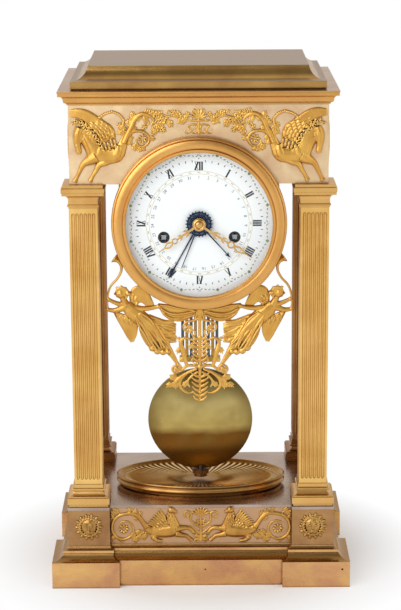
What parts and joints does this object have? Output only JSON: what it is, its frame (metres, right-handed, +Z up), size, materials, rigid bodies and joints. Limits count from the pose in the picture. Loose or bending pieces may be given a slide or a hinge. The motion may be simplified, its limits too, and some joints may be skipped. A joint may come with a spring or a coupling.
{
  "type": "portico clock",
  "caption": "Gilt portico clock: fluted pillars carry an entablature with a drum-cased calendar movement, over a gridiron pendulum with a lens bob above an oval dish.",
  "frame": {"origin": "centre of the footprint, on the table", "axes": "+X to the right seen from the front, +Y to the back, +Z up"},
  "size_m": [0.273, 0.197, 0.4752],
  "materials": {
    "gilt": "burnished fire gilding, slightly worn",
    "matte_gilt": "matte fire gilding",
    "brass": "lacquered brass, fine turned",
    "steel": "polished steel",
    "blued_steel": "heat-blued polished steel",
    "iron": "raw plate",
    "enamel": "white vitreous enamel",
    "glass": "clear, domed",
    "bell_metal": "turned bell metal"
  },
  "bodies": {
    "case": {"base_plate": "iron", "plinth": "gilt", "base_body": "gilt", "base_top": "gilt", "pillar_bases": "gilt", "shafts_front": "gilt", "shafts_rear": "gilt", "capitals": "gilt", "tie_rods": "steel", "tie_nuts": "steel", "entablature": "gilt", "cornice": "gilt", "attic": "gilt", "dish": "matte_gilt", "sun_masks": "matte_gilt", "griffins": "matte_gilt", "base_plant": "matte_gilt", "horses": "matte_gilt", "frieze_palmette": "matte_gilt", "side_mounts": "matte_gilt", "fame_figures": "matte_gilt", "candelabrum": "matte_gilt", "drum": "brass", "dial": "enamel", "dial_plate": "brass", "front_plate": "brass", "back_plate": "brass", "plate_pillars": "brass", "suspension_cock": "brass", "bell": "bell_metal", "bell_stand": "brass", "hinge_pins": "steel"},
    "bezel": {"bezel": "gilt", "bezel_glass": "glass"},
    "rear_door": {"rear_door": "brass"},
    "pendulum": {"pallets": "steel", "suspension": "brass", "gridiron_steel": "steel", "gridiron_brass": "brass", "bob": "brass", "rating_nut": "steel"},
    "minute": {"cannon_pinion": "brass", "minute_hand": "matte_gilt"},
    "minute_wheel": {"minute_wheel": "brass"},
    "hour": {"hour_wheel": "brass", "hour_hand": "matte_gilt"},
    "third": {"third_wheel": "brass"},
    "centre": {"centre_arbor": "steel", "centre_wheel": "brass"},
    "escape": {"escape_wheel": "brass"},
    "going_barrel": {"going_barrel": "brass"},
    "strike_barrel": {"strike_barrel": "brass"},
    "going_arbor": {"going_arbor": "steel"},
    "strike_arbor": {"strike_arbor": "steel"},
    "month": {"month_hand": "blued_steel"},
    "date": {"date_hand": "blued_steel"},
    "week": {"week_hand": "blued_steel"},
    "hammer": {"hammer": "steel"}
  },
  "joints": [
    {"name": "pendulum_swing", "type": "hinge", "parent": "case", "child": "pendulum", "pos_m": [0, -0.015, 0.3841], "axis": [0, 1, 0], "range_deg": [-2.5, 2.5]},
    {"name": "bezel_hinge", "type": "hinge", "parent": "case", "child": "bezel", "pos_m": [0.0752, -0.07685, 0.3371], "axis": [0, 0, 1], "range_deg": [0, 75]},
    {"name": "rear_door_hinge", "type": "hinge", "parent": "case", "child": "rear_door", "pos_m": [0.0752, 0.07685, 0.3371], "axis": [0, 0, -1], "range_deg": [0, 90]},
    {"name": "minute_turn", "type": "hinge", "parent": "case", "child": "minute", "pos_m": [0, -0.07, 0.3371], "axis": [0, 1, 0], "continuous": true},
    {"name": "minute_wheel_turn", "type": "hinge", "parent": "case", "child": "minute_wheel", "pos_m": [-0.01536, -0.066, 0.34862], "axis": [0, 1, 0], "continuous": true},
    {"name": "hour_turn", "type": "hinge", "parent": "case", "child": "hour", "pos_m": [0, -0.07, 0.3371], "axis": [0, 1, 0], "continuous": true},
    {"name": "third_turn", "type": "hinge", "parent": "case", "child": "third", "pos_m": [0.01267, -0.034, 0.35489], "axis": [0, 1, 0], "continuous": true},
    {"name": "centre_turn", "type": "hinge", "parent": "case", "child": "centre", "pos_m": [0, -0.036, 0.3371], "axis": [0, 1, 0], "continuous": true},
    {"name": "escape_turn", "type": "hinge", "parent": "case", "child": "escape", "pos_m": [0, -0.029, 0.3671], "axis": [0, 1, 0], "continuous": true},
    {"name": "going_barrel_turn", "type": "hinge", "parent": "case", "child": "going_barrel", "pos_m": [0.0315, -0.05, 0.3244], "axis": [0, 1, 0], "continuous": true},
    {"name": "strike_barrel_turn", "type": "hinge", "parent": "case", "child": "strike_barrel", "pos_m": [-0.0315, -0.05, 0.3244], "axis": [0, 1, 0], "continuous": true},
    {"name": "going_winding", "type": "hinge", "parent": "case", "child": "going_arbor", "pos_m": [0.0315, -0.05, 0.3244], "axis": [0, 1, 0], "continuous": true},
    {"name": "strike_winding", "type": "hinge", "parent": "case", "child": "strike_arbor", "pos_m": [-0.0315, -0.05, 0.3244], "axis": [0, 1, 0], "continuous": true},
    {"name": "month_turn", "type": "hinge", "parent": "case", "child": "month", "pos_m": [0, -0.075, 0.3371], "axis": [0, 1, 0], "continuous": true},
    {"name": "date_turn", "type": "hinge", "parent": "case", "child": "date", "pos_m": [0, -0.075, 0.3371], "axis": [0, 1, 0], "continuous": true},
    {"name": "week_turn", "type": "hinge", "parent": "case", "child": "week", "pos_m": [0, -0.075, 0.3371], "axis": [0, 1, 0], "continuous": true},
    {"name": "hammer_swing", "type": "hinge", "parent": "case", "child": "hammer", "pos_m": [-0.042, 0.005, 0.3171], "axis": [0, 1, 0], "range_deg": [-12, 7], "stiffness_Nm_per_rad": 0.02}
  ],
  "couplings": [
    {"joint": "minute_wheel_turn", "follows": "minute_turn", "ratio": -0.33333},
    {"joint": "hour_turn", "follows": "minute_turn", "ratio": 0.083333},
    {"joint": "centre_turn", "follows": "third_turn", "ratio": -0.083333},
    {"joint": "going_barrel_turn", "follows": "third_turn", "ratio": 0.010417},
    {"joint": "escape_turn", "follows": "third_turn", "ratio": -10}
  ]
}
